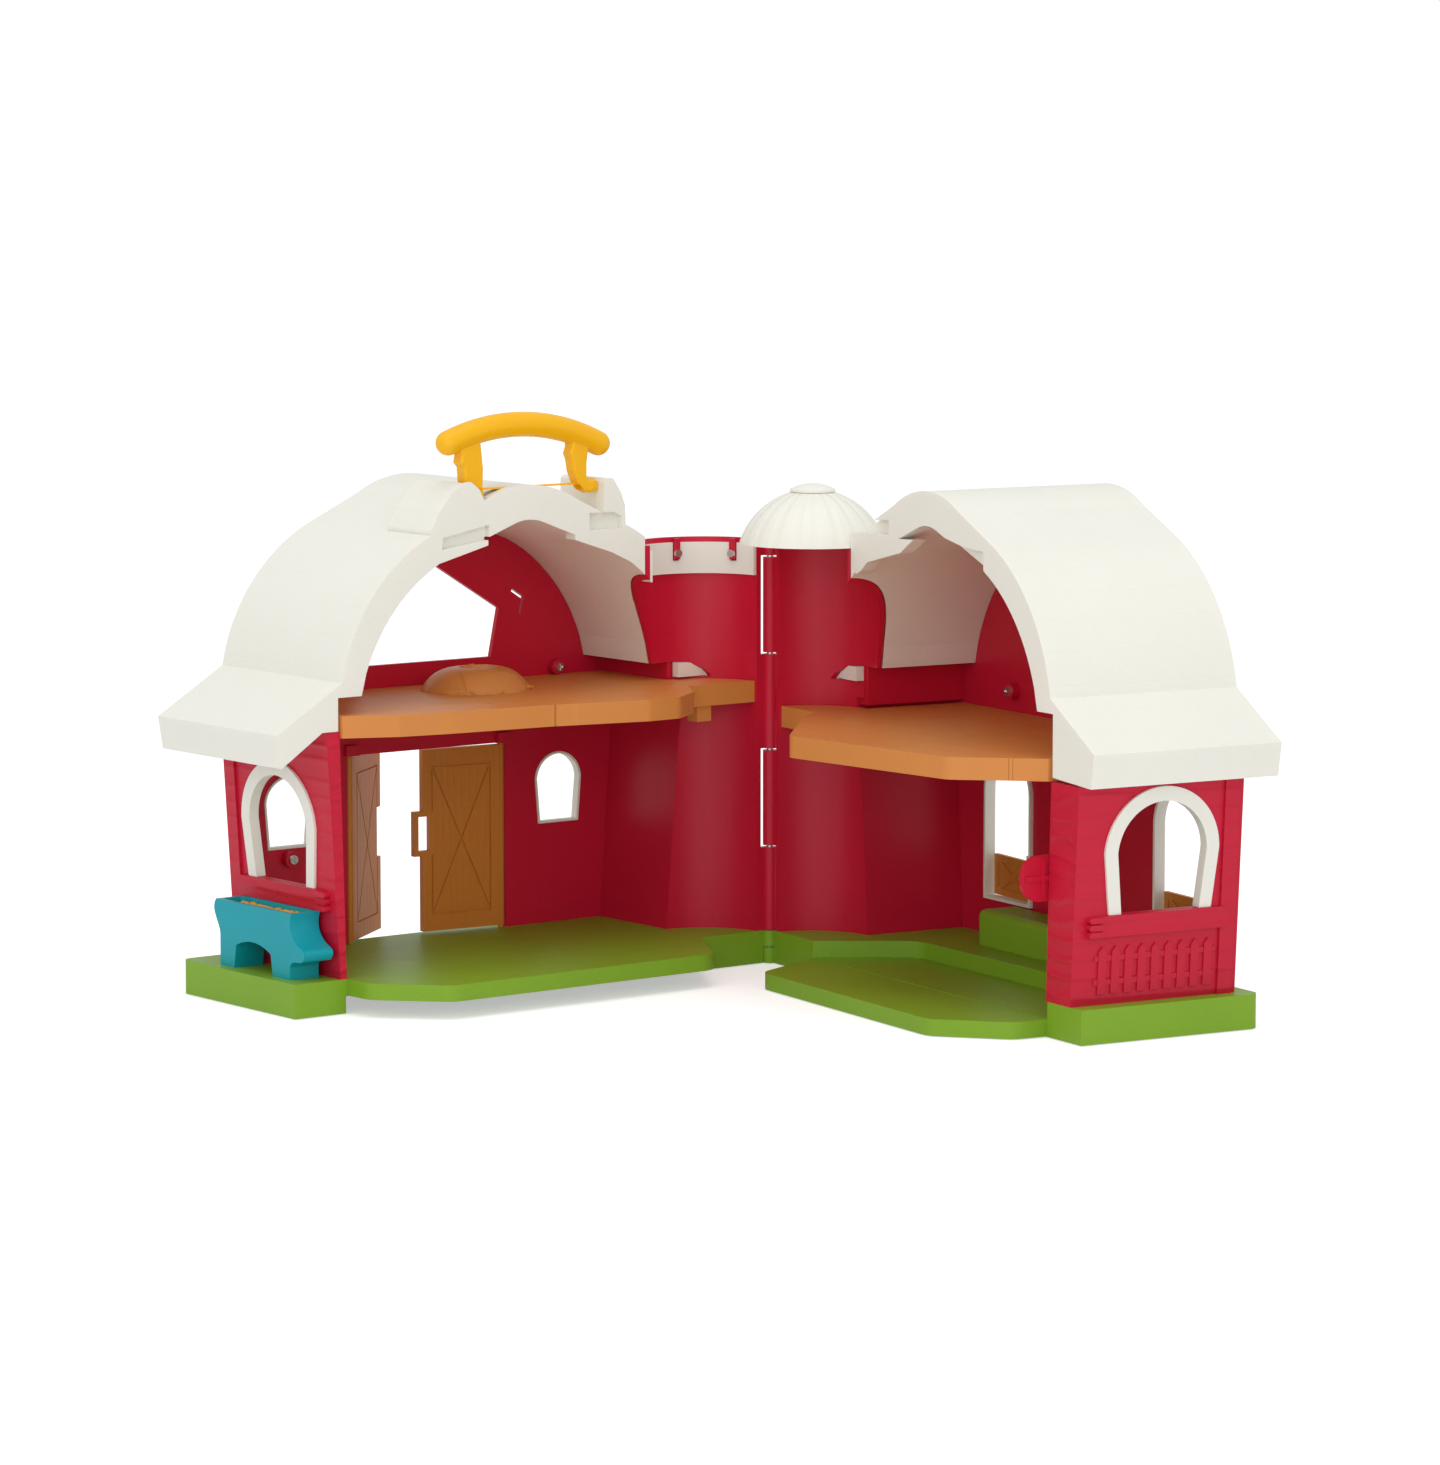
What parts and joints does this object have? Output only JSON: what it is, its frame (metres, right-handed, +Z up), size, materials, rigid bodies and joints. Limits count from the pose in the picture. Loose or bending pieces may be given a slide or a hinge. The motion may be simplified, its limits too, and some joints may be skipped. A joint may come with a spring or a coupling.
{
  "type": "toy barn",
  "caption": "Toy barn split into two hinged halves, with silo, upper floors, doors, half gates, arched windows, feed trough and a folding carry handle.",
  "frame": {"origin": "underside of the foot post near the middle of the front half's base, on the table", "axes": "+Z up; -Y out of the front doors; +X along the front half, from the hinge pin to the trough"},
  "size_m": [0.4601, 0.4923, 0.3264],
  "materials": {
    "green_plastic": "semi-gloss moulded grass green",
    "red_plastic": "semi-gloss moulded crimson",
    "ivory_plastic": "semi-gloss moulded ivory",
    "caramel_plastic": "semi-gloss moulded caramel",
    "brown_plastic": "semi-gloss moulded wood brown",
    "yellow_plastic": "glossy moulded golden yellow",
    "teal_plastic": "semi-gloss moulded turquoise",
    "feed_plastic": "matte moulded straw yellow",
    "steel": "bright zinc-plated steel"
  },
  "bodies": {
    "front_half": {"front_base": "green_plastic", "front_facade": "red_plastic", "front_side_wall": "red_plastic", "front_silo_wall": "red_plastic", "front_roof": "ivory_plastic", "silo_liner": "ivory_plastic", "front_side_window_trim": "ivory_plastic", "front_window_trims": "ivory_plastic", "front_upper_floor": "caramel_plastic", "feed_trough": "teal_plastic", "trough_feed": "feed_plastic", "hinge_pin": "steel", "front_screws": "steel"},
    "back_half": {"back_base": "green_plastic", "back_facade": "red_plastic", "back_side_wall": "red_plastic", "back_silo_wall": "red_plastic", "latch_tab": "red_plastic", "back_roof": "ivory_plastic", "silo_dome": "ivory_plastic", "dome_cap": "ivory_plastic", "back_side_window_trim": "ivory_plastic", "back_opening_trims": "ivory_plastic", "back_upper_floor": "caramel_plastic", "back_screws": "steel"},
    "silo_side_door": {"silo_side_door": "brown_plastic"},
    "trough_side_door": {"trough_side_door": "brown_plastic"},
    "carry_handle": {"carry_handle": "yellow_plastic"},
    "silo_side_gate": {"silo_side_gate": "brown_plastic"},
    "latch_side_gate": {"latch_side_gate": "brown_plastic"}
  },
  "joints": [
    {"name": "barn_hinge", "type": "hinge", "parent": "front_half", "child": "back_half", "pos_m": [-0.165, 0.086, 0], "axis": [0, 0, 1], "range_deg": [-82, 90]},
    {"name": "silo_side_door_hinge", "type": "hinge", "parent": "front_half", "child": "silo_side_door", "pos_m": [-0.0478, -0.019, 0], "axis": [0, 0, -1], "range_deg": [-6, 94]},
    {"name": "trough_side_door_hinge", "type": "hinge", "parent": "front_half", "child": "trough_side_door", "pos_m": [0.0578, -0.019, 0], "axis": [0, 0, 1], "range_deg": [-38, 62]},
    {"name": "silo_side_gate_hinge", "type": "hinge", "parent": "back_half", "child": "silo_side_gate", "pos_m": [-0.25309, 0.21653, 0], "axis": [0, 0, -1], "range_deg": [-4, 96]},
    {"name": "latch_side_gate_hinge", "type": "hinge", "parent": "back_half", "child": "latch_side_gate", "pos_m": [-0.22874, 0.38983, 0], "axis": [0, 0, -1], "range_deg": [-4, 96]},
    {"name": "handle_pivot", "type": "hinge", "parent": "front_half", "child": "carry_handle", "pos_m": [0.0035, 0.0765, 0.282], "axis": [1, 0, 0], "range_deg": [-5, 60]}
  ]
}
